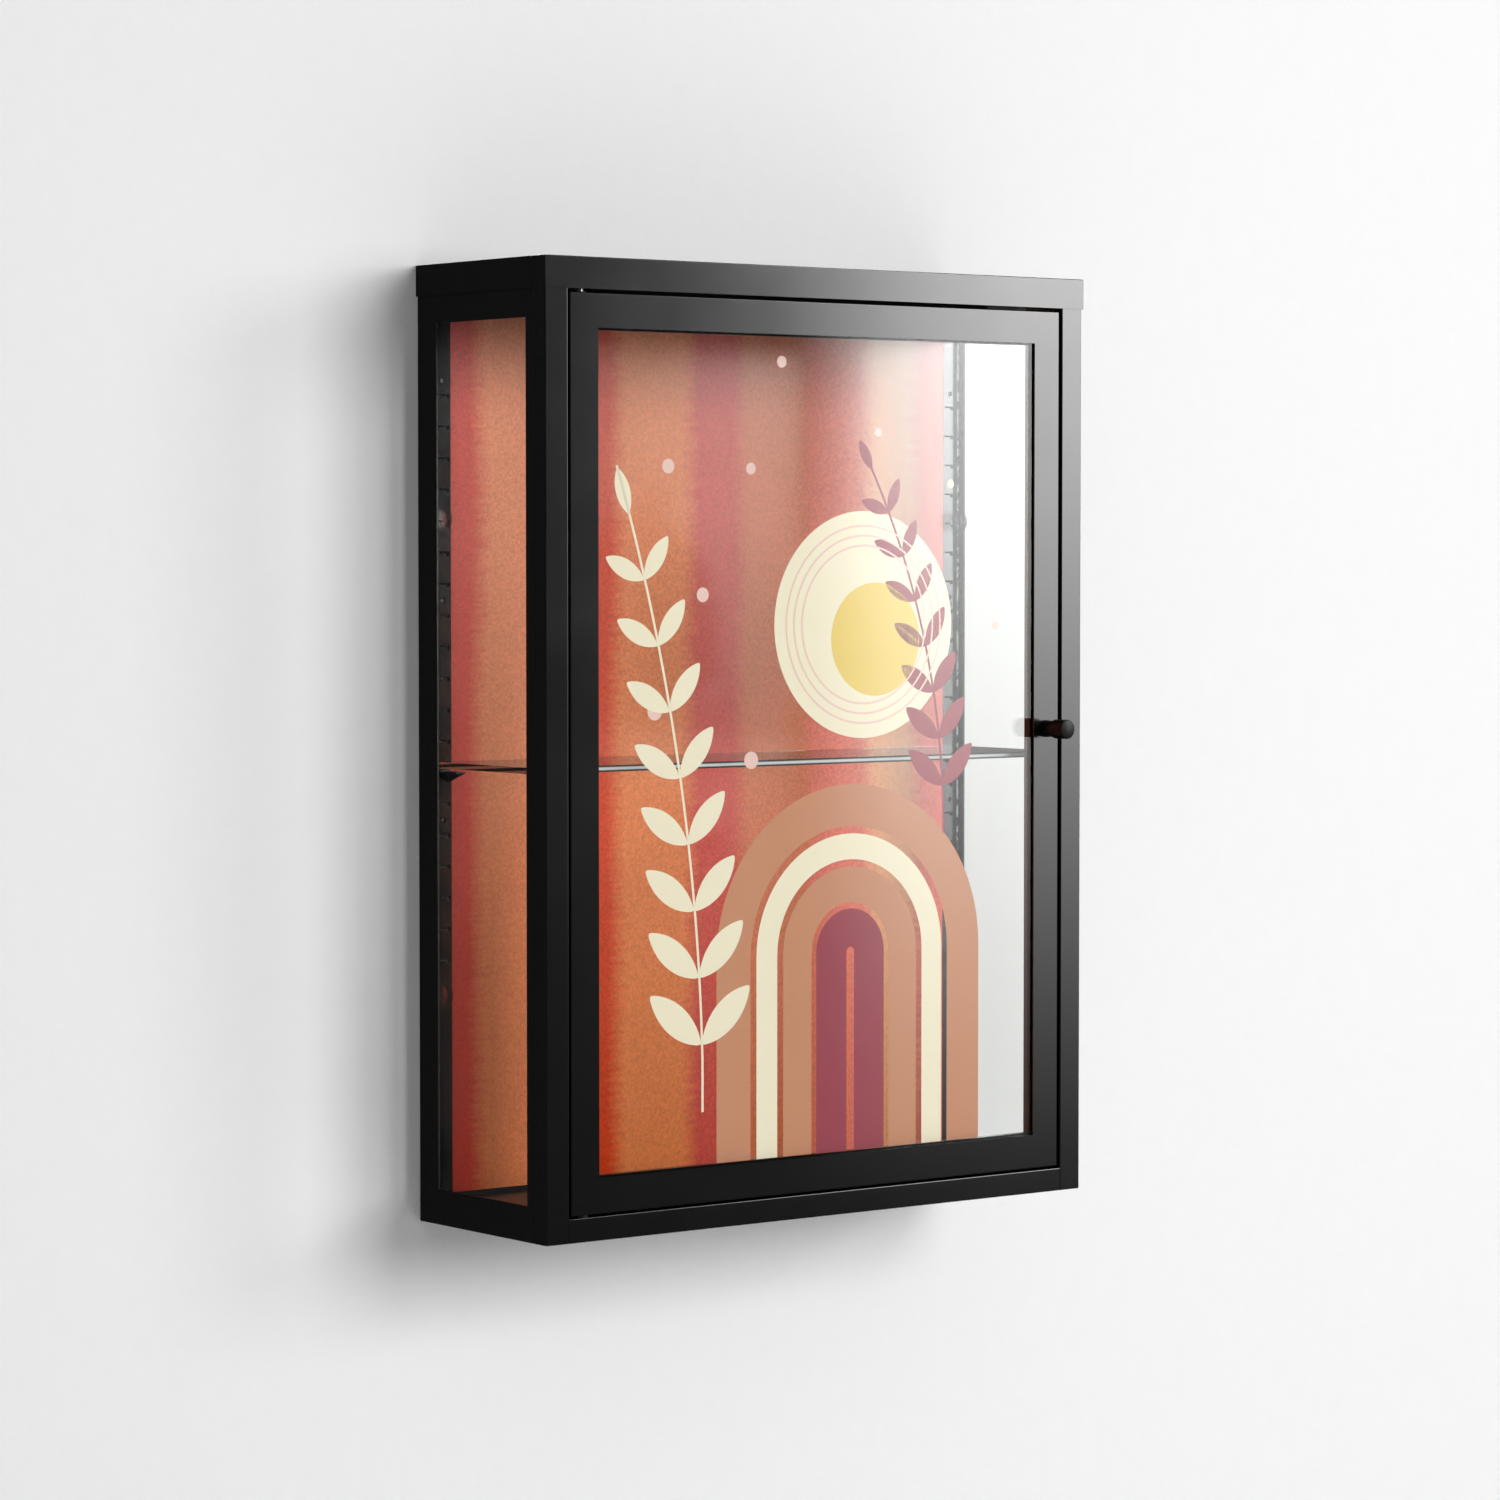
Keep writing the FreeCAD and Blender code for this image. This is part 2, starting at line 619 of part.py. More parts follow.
# Knob
def knob():
    """Turned knob: a small foot, a neck and a drum with a low dome, drilled for its screw."""
    neck_end = KNOB_FOOT + KNOB_NECK
    head_end = neck_end + KNOB_HEAD
    cone = KNOB_FOOT + KNOB_NECK - (KNOB_R - KNOB_NECK_R) / 2

    def at(radius, out):
        return Vector(knob_x + radius, FRONT - out, knob_z)

    dome_r = (KNOB_R ** 2 + KNOB_DOME ** 2) / (2 * KNOB_DOME)
    half_angle = math.asin(KNOB_R / dome_r) / 2
    dome_mid = at(dome_r * math.sin(half_angle), head_end + KNOB_DOME - dome_r * (1 - math.cos(half_angle)))
    edges = [
        Part.makeLine(at(0, 0), at(KNOB_FOOT_R, 0)),
        Part.makeLine(at(KNOB_FOOT_R, 0), at(KNOB_FOOT_R, KNOB_FOOT)),
        Part.makeLine(at(KNOB_FOOT_R, KNOB_FOOT), at(KNOB_NECK_R, KNOB_FOOT)),
        Part.makeLine(at(KNOB_NECK_R, KNOB_FOOT), at(KNOB_NECK_R, cone)),
        Part.makeLine(at(KNOB_NECK_R, cone), at(KNOB_R, neck_end)),
        Part.makeLine(at(KNOB_R, neck_end), at(KNOB_R, head_end)),
        Part.Arc(at(KNOB_R, head_end), dome_mid, at(0, head_end + KNOB_DOME)).toShape(),
        Part.makeLine(at(0, head_end + KNOB_DOME), at(0, 0)),
    ]
    profile = Part.Face(Part.Wire(edges))
    body = profile.revolve(Vector(knob_x, FRONT, knob_z), Vector(0, 1, 0), 360)
    body = round_edges(body, KNOB_EDGE, [at(KNOB_R, head_end), at(KNOB_R, neck_end)])
    bore = rod(KNOB_SCREW_R + FIT, (knob_x, FRONT, knob_z), (knob_x, FRONT - KNOB_SCREW - SHEET, knob_z))
    return body.cut(bore)


def knob_screw():
    seat = FRONT + SHEET
    head = rod(KNOB_SCREW_HEAD_R, (knob_x, seat, knob_z), (knob_x, seat + KNOB_SCREW_HEAD, knob_z))
    return join(head, rod(KNOB_SCREW_R, (knob_x, seat, knob_z), (knob_x, FRONT - KNOB_SCREW, knob_z)))


# Magnetic catch under the ceiling and its strike on the door
strike_top = DOOR_T - STRIKE_INSET
magnet_z = strike_top - STRIKE_HEIGHT / 2


def magnet_block(ease):
    half = MAGNET_HEIGHT / 2 + ease
    length = MAGNET_LENGTH / 2 + ease
    return box(catch_x - length, catch_x + length, catch_front, catch_front + MAGNET_DEPTH,
               magnet_z - half, magnet_z + half)


def catch_housing():
    half = CATCH_LENGTH / 2
    body = box(catch_x - half, catch_x + half, catch_front, catch_back, CEILING - CATCH_HEIGHT, CEILING)
    return body.cut([magnet_block(EASE)] + catch_holes)


def catch_screws():
    seat = CEILING - CATCH_HEIGHT
    return [join(rod(CATCH_HEAD_R, (x, catch_screw_y, seat - CATCH_HEAD), (x, catch_screw_y, seat)),
                 rod(CATCH_SCREW_R, (x, catch_screw_y, seat), (x, catch_screw_y, CEILING + SHEET)))
            for x in catch_screw_columns]


def strike_plate():
    half = STRIKE_LENGTH / 2
    y0 = FRONT + DOOR_DEPTH
    return box(catch_x - half, catch_x + half, y0, y0 + STRIKE, strike_top - STRIKE_HEIGHT, strike_top)


os.makedirs("parts", exist_ok=True)

left_frame = side_frame()
export("left_side_frame", left_frame)
export("right_side_frame", mirrored(left_frame))
export("bottom_pan", pan(FLOOR, BASE))
export("top_pan", top_pan())
export("top_cover", top_cover())
export("cover_posts", *cover_posts())
export("cover_screws", *cover_screws())
export("back_panel", back_panel())
export("printed_panel", printed_panel())
export("left_shelf_standard", shelf_standard(left_standard_x))
export("right_shelf_standard", shelf_standard(right_standard_x))
export("wall_spacers", *wall_spacers())

left_clips = side_clips()
export("left_side_glass", side_glass())
export("right_side_glass", mirrored(side_glass()))
export("left_glass_seal", side_seal())
export("right_glass_seal", mirrored(side_seal()))
export("left_glass_clips", *left_clips)
export("right_glass_clips", *[mirrored(clip) for clip in left_clips])
export("left_edge_strip", edge_strip())
export("right_edge_strip", mirrored(edge_strip()))
export("setting_blocks", *setting_blocks())

export("glass_shelf", glass_shelf())
export("left_rear_bracket", rear_bracket(left_standard_x))
export("right_rear_bracket", rear_bracket(right_standard_x))
export("left_front_bracket", front_bracket())
export("right_front_bracket", mirrored(front_bracket()))
export("shelf_pads", *shelf_pads())

upper_seat = CEILING + SHEET
lower_seat = FLOOR - SHEET
export("upper_pivot_plate", pivot_plate(upper_seat, 1))
export("lower_pivot_plate", pivot_plate(lower_seat, -1))
export("upper_pivot_pin", pivot_pin(upper_seat + PIVOT_PLATE, DOOR_T - PIN_REACH, 1))
export("lower_pivot_pin", pivot_pin(lower_seat - PIVOT_PLATE, DOOR_B + PIN_REACH, -1))
export("pivot_washer", pivot_washer())
export("upper_pivot_bush", pivot_bush(DOOR_T, 1))
export("lower_pivot_bush", pivot_bush(DOOR_B, -1))

export("door_frame", door_frame())
export("door_glass", door_glass())
export("door_glass_seal", door_seal())
export("door_bead_left", door_bead_left())
export("door_bead_right", door_bead_right())
export("door_bead_top", door_rail_bead(light_t, -1))
export("door_bead_bottom", door_rail_bead(light_b, 1))
export("door_bead_posts", *bead_posts())
export("door_bead_screws", *bead_screws())
export("door_glass_tabs", *door_tabs())
export("knob", knob())
export("knob_screw", knob_screw())

export("catch_housing", catch_housing())
export("catch_magnet", magnet_block(0.0))
export("catch_screws", *catch_screws())
export("strike_plate", strike_plate())
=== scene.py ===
# %% [markdown]
# This is a glazed wall cabinet: a shallow box of folded black steel with a glass door, two
# glass sides, one glass shelf and a printed sheet on its back. The solids come in as a fixed
# frame, already at their real size. What is left to do here is the light, the finish of every
# surface, and the thin things that only show close up, such as the ink on the door.

# %% Load the frame and keep its box
import math

import bpy
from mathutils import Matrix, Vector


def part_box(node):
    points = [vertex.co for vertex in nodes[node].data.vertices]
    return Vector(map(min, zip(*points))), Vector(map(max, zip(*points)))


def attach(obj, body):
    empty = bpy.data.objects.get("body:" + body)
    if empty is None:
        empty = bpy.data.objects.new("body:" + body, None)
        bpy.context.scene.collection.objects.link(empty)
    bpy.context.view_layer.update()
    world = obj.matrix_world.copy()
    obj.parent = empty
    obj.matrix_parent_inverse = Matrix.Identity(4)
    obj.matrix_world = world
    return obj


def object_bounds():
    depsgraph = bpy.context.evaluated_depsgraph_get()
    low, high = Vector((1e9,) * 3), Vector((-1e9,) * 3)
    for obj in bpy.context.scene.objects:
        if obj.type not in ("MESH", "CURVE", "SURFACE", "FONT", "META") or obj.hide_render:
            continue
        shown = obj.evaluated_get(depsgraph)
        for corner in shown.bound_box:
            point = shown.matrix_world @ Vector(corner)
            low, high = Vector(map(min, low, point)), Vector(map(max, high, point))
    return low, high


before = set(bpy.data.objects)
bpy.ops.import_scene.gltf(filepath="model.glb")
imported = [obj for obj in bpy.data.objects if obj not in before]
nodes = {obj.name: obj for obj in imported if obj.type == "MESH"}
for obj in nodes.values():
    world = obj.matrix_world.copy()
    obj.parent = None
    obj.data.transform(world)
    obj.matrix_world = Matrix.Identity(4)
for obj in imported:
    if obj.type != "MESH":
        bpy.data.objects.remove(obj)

bpy.ops.object.select_all(action="DESELECT")
cad_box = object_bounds()
print("nodes", len(nodes), "box", cad_box)

# %% [markdown]
# The camera stands to the left of the door and a little above its middle, about four metres
# away with a long lens, so that the cabinet's verticals stay almost parallel. A long lens far
# off could be faked with an orthographic camera, but then the far side would not shrink.

# %% Set the camera
scene = bpy.context.scene
scene.view_settings.view_transform = "Standard"
CAMERA_PLACE = (-2.34710, -3.13409, 0.03791)
CAMERA_TURN = 37.5257
CAMERA_DIP = 2.4035
bpy.ops.object.camera_add(
    location=CAMERA_PLACE,
    rotation=(math.radians(90 - CAMERA_DIP), 0, -math.radians(CAMERA_TURN)))
camera = bpy.context.object
camera.data.sensor_width = 36
camera.data.lens = 112.65
scene.camera = camera
print("camera", CAMERA_PLACE, "lens", camera.data.lens)

# %% [markdown]
# Edges are picked in code by their place, then shaped with the same operators a hand would
# use. These helpers keep each later step short: one picks, one closes a piece by putting its
# place into its mesh, and two set up shader nodes and colours.

# %% Helpers for picking and finishing meshes
EDGES_ONLY = (False, True, False)


def pick_edges(test):
    """Selects the edges of the active mesh whose middle passes the test, and stays in edit mode."""
    mesh = bpy.context.object.data
    bpy.ops.object.mode_set(mode="EDIT")
    bpy.ops.mesh.select_all(action="DESELECT")
    bpy.ops.object.mode_set(mode="OBJECT")
    bpy.context.tool_settings.mesh_select_mode = EDGES_ONLY
    for edge in mesh.edges:
        first, last = (mesh.vertices[i].co for i in edge.vertices)
        edge.select = test((first + last) / 2)
    bpy.ops.object.mode_set(mode="EDIT")


def settle(name):
    """Leaves edit mode, puts the object's place into its mesh and names both."""
    if bpy.context.object.mode == "EDIT":
        bpy.ops.object.mode_set(mode="OBJECT")
    bpy.ops.object.transform_apply(location=True, rotation=True, scale=True)
    piece = bpy.context.object
    piece.name = name
    piece.data.name = name
    piece.select_set(False)
    return piece


def tune(tree, kind, label=None, inputs=None, **settings):
    """Adds a shader node, sets its options and its unlinked inputs, and returns it."""
    made = tree.nodes.new(kind)
    if label:
        made.label = label
    for key, value in settings.items():
        setattr(made, key, value)
    for key, value in (inputs or {}).items():
        made.inputs[key].default_value = value
    return made


def srgb(red, green, blue):
    """A colour as seen on a screen, 0 to 255, turned into the linear values shaders use."""
    def linear(c):
        c = c / 255
        return c / 12.92 if c <= 0.04045 else ((c + 0.055) / 1.055) ** 2.4
    return (linear(red), linear(green), linear(blue), 1)


print("helpers ready")

# %% [markdown]
# The cabinet hangs on a plain plastered wall. The wall is one large face with an opening just
# inside the cabinet's outline: nobody sees it from the room, but a lamp behind can reach the
# cabinet's back, and the face lets rays through from behind so that the back can be looked at.

# %% Build the wall and the floor
WALL_GAP = 0.0004
WALL_HALF = 7.0
INNER_HALF = 1.0
OPENING_INSET = 0.05
FLOOR_DROP = 2.2

(low_x, low_y, low_z), (high_x, high_y, high_z) = cad_box
bpy.ops.mesh.primitive_plane_add(
    size=2 * WALL_HALF, location=(0, WALL_GAP, 0), rotation=(math.radians(90), 0, 0))
bpy.ops.object.transform_apply(location=True, rotation=True, scale=True)
bpy.ops.object.mode_set(mode="EDIT")
bpy.ops.mesh.inset(thickness=WALL_HALF - INNER_HALF)
opening = (high_x - low_x - 2 * OPENING_INSET, high_z - low_z - 2 * OPENING_INSET)
bpy.ops.transform.resize(value=(opening[0] / 2 / INNER_HALF, 1, opening[1] / 2 / INNER_HALF))
bpy.ops.transform.translate(value=(0, 0, (low_z + high_z) / 2))
bpy.ops.mesh.delete(type="FACE")
wall = settle("wall")
bpy.ops.mesh.primitive_plane_add(size=2 * WALL_HALF, location=(0, -WALL_HALF, low_z - FLOOR_DROP))
floor = settle("floor")
print("wall faces", len(wall.data.polygons), "opening", opening)

# %% [markdown]
# Wall and floor have the same white plaster, with faint trowel marks from a noise. The plaster
# shows to the eye and lights the cabinet, but not in its reflections: there the black coat
# mirrors a dim room, as it does with dark cloths hung round a product for its picture.

# %% Plaster the wall and the floor
PLASTER_TONES = (srgb(246, 246, 246), srgb(243, 243, 243))
plaster = bpy.data.materials.new("plaster")
plaster.use_nodes = True
tree = plaster.node_tree
shader = tree.nodes["Principled BSDF"]
shader.inputs["Roughness"].default_value = 0.95
shader.inputs["Specular IOR Level"].default_value = 0.1
spot = tune(tree, "ShaderNodeTexCoord")
trowel = tune(tree, "ShaderNodeTexNoise", "trowel marks", {"Scale": 55.0, "Detail": 5.0, "Roughness": 0.55})
tree.links.new(spot.outputs["Object"], trowel.inputs["Vector"])
shades = tune(tree, "ShaderNodeMixRGB", inputs={"Color1": PLASTER_TONES[0], "Color2": PLASTER_TONES[1]})
tree.links.new(trowel.outputs["Fac"], shades.inputs["Fac"])
tree.links.new(shades.outputs["Color"], shader.inputs["Base Color"])
relief = tune(tree, "ShaderNodeBump", inputs={"Strength": 0.30, "Distance": 0.0018})
tree.links.new(trowel.outputs["Fac"], relief.inputs["Height"])
tree.links.new(relief.outputs["Normal"], shader.inputs["Normal"])
clear = tune(tree, "ShaderNodeBsdfTransparent")
side = tune(tree, "ShaderNodeNewGeometry")
path = tune(tree, "ShaderNodeLightPath")
gone = tune(tree, "ShaderNodeMath", operation="MAXIMUM", use_clamp=True)
choice = tune(tree, "ShaderNodeMixShader")
tree.links.new(side.outputs["Backfacing"], gone.inputs[0])
tree.links.new(path.outputs["Glossy Depth"], gone.inputs[1])
tree.links.new(gone.outputs["Value"], choice.inputs[0])
tree.links.new(shader.outputs["BSDF"], choice.inputs[1])
tree.links.new(clear.outputs["BSDF"], choice.inputs[2])
tree.links.new(choice.outputs["Shader"], tree.nodes["Material Output"].inputs["Surface"])
wall.data.materials.append(plaster)
floor.data.materials.append(plaster)
print("plaster on", wall.name, "and", floor.name)

# %% [markdown]
# The sheen comes from a big soft panel high on the right, as beside a window. Its brightness
# fades towards its rim, so the sheen that it lays over the black front and the print fades as
# well, from the upper right corner down to the left. Three plain area lamps do the lighting:
# the key throws the shadow on the wall, the main lamp reaches the print through the door, and
# the rear lamp is for the back. Key and main stay out of reflections, and the pale room fills
# the rest.

# %% Set the lamps and the room
ROOM_FILL_LOW = 0.17
ROOM_FILL_HIGH = 0.34
ROOM_SEEN = 0.93
ROOM_IN_GLOSS = 0.032
room = bpy.data.worlds.new("room")
scene.world = room
room.use_nodes = True
tree = room.node_tree
backdrop = tree.nodes["Background"]
backdrop.inputs["Color"].default_value = (1, 1, 1, 1)
path = tune(tree, "ShaderNodeLightPath")
sky = tune(tree, "ShaderNodeTexCoord")
height = tune(tree, "ShaderNodeSeparateXYZ")
fill = tune(tree, "ShaderNodeMapRange", inputs={
    "From Min": -0.5, "From Max": 0.7, "To Min": ROOM_FILL_LOW, "To Max": ROOM_FILL_HIGH})
tree.links.new(sky.outputs["Generated"], height.inputs[0])
tree.links.new(height.outputs["Z"], fill.inputs["Value"])
strength = fill.outputs["Result"]
for ray, value in (
        ("Is Transmission Ray", ROOM_SEEN), ("Is Camera Ray", ROOM_SEEN), ("Glossy Depth", ROOM_IN_GLOSS)):
    level = tune(tree, "ShaderNodeMix", ray, {"B": value})
    tree.links.new(path.outputs[ray], level.inputs["Factor"])
    tree.links.new(strength, level.inputs["A"])
    strength = level.outputs["Result"]
tree.links.new(strength, backdrop.inputs["Strength"])

AIM = ((low_x + high_x) / 2, low_y, (low_z + high_z) / 2)


def aim(lamp):
    """Turns a lamp so that its face looks at the middle of the door."""
    reach = [a - b for a, b in zip(AIM, lamp.location)]
    flat = math.hypot(reach[0], reach[1])
    lamp.rotation_euler = (math.atan2(flat, -reach[2]), 0, math.atan2(-reach[0], reach[1]))


def area_lamp(name, place, width, power):
    """Adds a square area lamp that looks at the cabinet."""
    bpy.ops.object.light_add(type="AREA", location=place)
    lamp = bpy.context.object
    lamp.name = name
    lamp.data.size = width
    lamp.data.energy = power
    aim(lamp)
    lamp.select_set(False)
    return lamp


key = area_lamp("key_lamp", (6.4, -6.0, 1.7), 2.4, 150)
main = area_lamp("main_lamp", (1.15, -4.2, 0.8), 1.9, 104)
for lamp in (key, main):
    lamp.visible_glossy = lamp.visible_transmission = False
rear = area_lamp("rear_lamp", (2.2, 3.6, 1.3), 2.0, 110)

PANEL_DEPTH = -3.134
PANEL_LOW = (2.233, -1.35)
PANEL_HIGH = (5.0, 2.6)
PANEL_FADE = (0.39, 2.75)
PANEL_GLOW = 8.0
bpy.ops.mesh.primitive_plane_add(size=1, rotation=(math.radians(-90), 0, 0))
panel = bpy.context.object
panel.scale = (PANEL_HIGH[0] - PANEL_LOW[0], PANEL_HIGH[1] - PANEL_LOW[1], 1)
panel.location = ((PANEL_LOW[0] + PANEL_HIGH[0]) / 2, PANEL_DEPTH, (PANEL_LOW[1] + PANEL_HIGH[1]) / 2)
panel = settle("soft_panel")
panel.visible_camera = False
panel.visible_shadow = False
panel.visible_diffuse = False
glow = bpy.data.materials.new("panel_glow")
glow.use_nodes = True
tree = glow.node_tree
tree.nodes.remove(tree.nodes["Principled BSDF"])
spot = tune(tree, "ShaderNodeTexCoord")
apart = tune(tree, "ShaderNodeSeparateXYZ")
both = tune(tree, "ShaderNodeMath", operation="MULTIPLY")
lit = tune(tree, "ShaderNodeEmission")
tree.links.new(spot.outputs["Object"], apart.inputs[0])
for place, axis in enumerate(("X", "Z")):
    fade = tune(tree, "ShaderNodeMapRange", "fade along " + axis, interpolation_type="SMOOTHERSTEP", inputs={
        "From Min": PANEL_LOW[place], "From Max": PANEL_LOW[place] + PANEL_FADE[place],
        "To Max": PANEL_GLOW ** 0.5})
    tree.links.new(apart.outputs[axis], fade.inputs["Value"])
    tree.links.new(fade.outputs["Result"], both.inputs[place])
tree.links.new(both.outputs["Value"], lit.inputs["Strength"])
tree.links.new(lit.outputs["Emission"], tree.nodes["Material Output"].inputs["Surface"])
panel.data.materials.append(glow)
print("lamps", key.name, main.name, rear.name, panel.name)

# %% [markdown]
# Most finishes here share one thing: a fine even grain over a slow drift of tone. It is built
# once as a node group that gives the grain and the drift, and each material takes
# its own scale from it. An image of real grain would do too, but it would tile and blur.

# %% Build the shared grain group
grain_group = bpy.data.node_groups.new("grain_and_drift", "ShaderNodeTree")
for name, kind, way in (
        ("Grain Scale", "NodeSocketFloat", "INPUT"), ("Drift Scale", "NodeSocketFloat", "INPUT"),
        ("Grain", "NodeSocketFloat", "OUTPUT"), ("Drift", "NodeSocketFloat", "OUTPUT")):
    grain_group.interface.new_socket(name=name, in_out=way, socket_type=kind)
given = tune(grain_group, "NodeGroupInput")
result = tune(grain_group, "NodeGroupOutput")
spot = tune(grain_group, "ShaderNodeTexCoord")
for label, detail in (("Grain", 2.0), ("Drift", 3.0)):
    noise = tune(grain_group, "ShaderNodeTexNoise", label, {"Detail": detail, "Roughness": 0.6})
    grain_group.links.new(spot.outputs["Object"], noise.inputs["Vector"])
    grain_group.links.new(given.outputs[label + " Scale"], noise.inputs["Scale"])
    grain_group.links.new(noise.outputs["Fac"], result.inputs[label])
print("group", grain_group.name)

# %% [markdown]
# Powder coat, moulded nylon, sealant and zinc plate are all one solid colour to the eye, yet
# none is flat: the colour, the gloss and the surface all waver with the grain. One function
# makes such a finish from two tones, two roughnesses and the two scales.


# %% Write the grained finish
NOISE_LOW = 0.3
NOISE_HIGH = 0.7


def blend(tree, factor, first, second):
    """A colour mix with a linked factor."""
    mixed = tune(tree, "ShaderNodeMixRGB", inputs={"Color1": first, "Color2": second})
    tree.links.new(factor, mixed.inputs["Fac"])
    return mixed.outputs["Color"]


def spread(tree, factor, low, high):
    """A linked noise, over the range where most of it lies, stretched between two numbers."""
    made = tune(tree, "ShaderNodeMapRange", inputs={
        "From Min": NOISE_LOW, "From Max": NOISE_HIGH, "To Min": low, "To Max": high})
    tree.links.new(factor, made.inputs["Value"])
    return made.outputs["Result"]


def object_axis(tree, output, axis):
    """One axis of an object's own coordinates or normals."""
    spot = tune(tree, "ShaderNodeTexCoord")
    apart = tune(tree, "ShaderNodeSeparateXYZ")
    tree.links.new(spot.outputs[output], apart.inputs[0])
    return apart.outputs[axis]


def grained(name, tones, gloss, scales, bump, **sockets):
    """A material whose colour, roughness and relief waver with the shared grain."""
    made = bpy.data.materials.new(name)
    made.use_nodes = True
    tree = made.node_tree
    shader = tree.nodes["Principled BSDF"]
    for key, value in sockets.items():
        shader.inputs[key.replace("_", " ")].default_value = value
    grain = tune(tree, "ShaderNodeGroup", node_tree=grain_group,
                 inputs={"Grain Scale": scales[0], "Drift Scale": scales[1]})
    tree.links.new(blend(tree, grain.outputs["Grain"], *tones), shader.inputs["Base Color"])
    tree.links.new(spread(tree, grain.outputs["Drift"], *gloss), shader.inputs["Roughness"])
    relief = tune(tree, "ShaderNodeBump", inputs={"Strength": bump[0], "Distance": bump[1]})
    tree.links.new(grain.outputs["Grain"], relief.inputs["Height"])
    tree.links.new(relief.outputs["Normal"], shader.inputs["Normal"])
    return made


COAT_GRAIN = 1100.0
finishes = {
    "black_coat": grained("black_coat", (srgb(8, 8, 8), srgb(14, 14, 14)), (0.155, 0.18),
                          (COAT_GRAIN, 14.0), (0.06, 0.0002), IOR=1.85),
    "black_sealant": grained("black_sealant", (srgb(12, 12, 12), srgb(24, 24, 24)), (0.45, 0.65),
                             (400.0, 60.0), (0.25, 0.0004)),
    "zinc_steel": grained("zinc_steel", (srgb(176, 178, 180), srgb(208, 208, 206)), (0.28, 0.42),
                          (900.0, 120.0), (0.08, 0.0001), Metallic=1.0),
    "black_nylon": grained("black_nylon", (srgb(20, 20, 21), srgb(30, 30, 31)), (0.42, 0.55),
                           (1200.0, 90.0), (0.15, 0.0001)),
    "magnet_ferrite": grained("magnet_ferrite", (srgb(46, 46, 48), srgb(70, 68, 66)), (0.5, 0.7),
                              (1800.0, 200.0), (0.3, 0.0001)),
    # Near-black felt that puts painted shade in the gaps round the door.
    "black_felt": grained("black_felt", (srgb(5, 5, 5), srgb(12, 12, 12)), (0.85, 0.95),
                          (2600.0, 60.0), (0.5, 0.0004)),
}
for name, gloss, index in (("knob_coat", (0.36, 0.42), 1.42), ("standard_coat", (0.16, 0.19), 1.9),
                           ("back_coat", (0.60, 0.72), 1.4)):
    finishes[name] = grained(name, (srgb(8, 8, 8), srgb(14, 14, 14)), gloss,
                             (COAT_GRAIN, 14.0), (0.06, 0.0002), IOR=index)
print("finishes", sorted(finishes))

# %% [markdown]
# Powder is blown on from outside, so less of it reaches the inside of a box or of a punched slot
# and it flows out duller there. The coat's roughness therefore rises with depth: behind the door
# on the frames, and just behind the front face on the slotted standards.

# %% Dull the coat inside the box and the slots
def dull(name, start, full, roughness):
    """Raises a coat's roughness between two depths."""
    tree = finishes[name].node_tree
    rough = tree.nodes["Principled BSDF"].inputs["Roughness"]
    outside = rough.links[0].from_socket
    inside = tune(tree, "ShaderNodeMapRange", "inside", {
        "From Min": start, "From Max": full, "To Max": roughness})
    duller = tune(tree, "ShaderNodeMath", operation="MAXIMUM")
    tree.links.new(object_axis(tree, "Object", "Y"), inside.inputs["Value"])
    tree.links.new(outside, duller.inputs[0])
    tree.links.new(inside.outputs["Result"], duller.inputs[1])
    tree.links.new(duller.outputs["Value"], rough)
    print(name, "dulls from", start, "to", full)


INSIDE_FROM = -0.166
INSIDE_FULL = -0.158
SLOT_FROM = 0.0002
SLOT_FULL = 0.0005
standard_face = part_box("left_shelf_standard")[0][1]
dull("black_coat", INSIDE_FROM, INSIDE_FULL, 0.42)
dull("standard_coat", standard_face + SLOT_FROM, standard_face + SLOT_FULL, 0.95)

# %% [markdown]
# A cut pane has ground edges: matt and pale, smeared with black sealant where the pane is set
# in a frame. The shelf's front edge is polished. It is drawn pale in the middle, with a dark line of
# painted shade above and below where its arrises would darken it. Both are laid on by the
# direction or the place of a face.


# %% Write the ground edge of a pane and the painted shade on the shelf's edge
EDGE_TONES = (srgb(212, 215, 214), srgb(40, 42, 42))
RIM_SHADE_FROM = 0.0018
RIM_SHADE_FULL = 0.0010


def calculate(tree, operation, first, second=0.0):
    """One sum on a linked value and a number."""
    made = tune(tree, "ShaderNodeMath", operation=operation)
    tree.links.new(first, made.inputs[0])
    made.inputs[1].default_value = second
    return made.outputs["Value"]


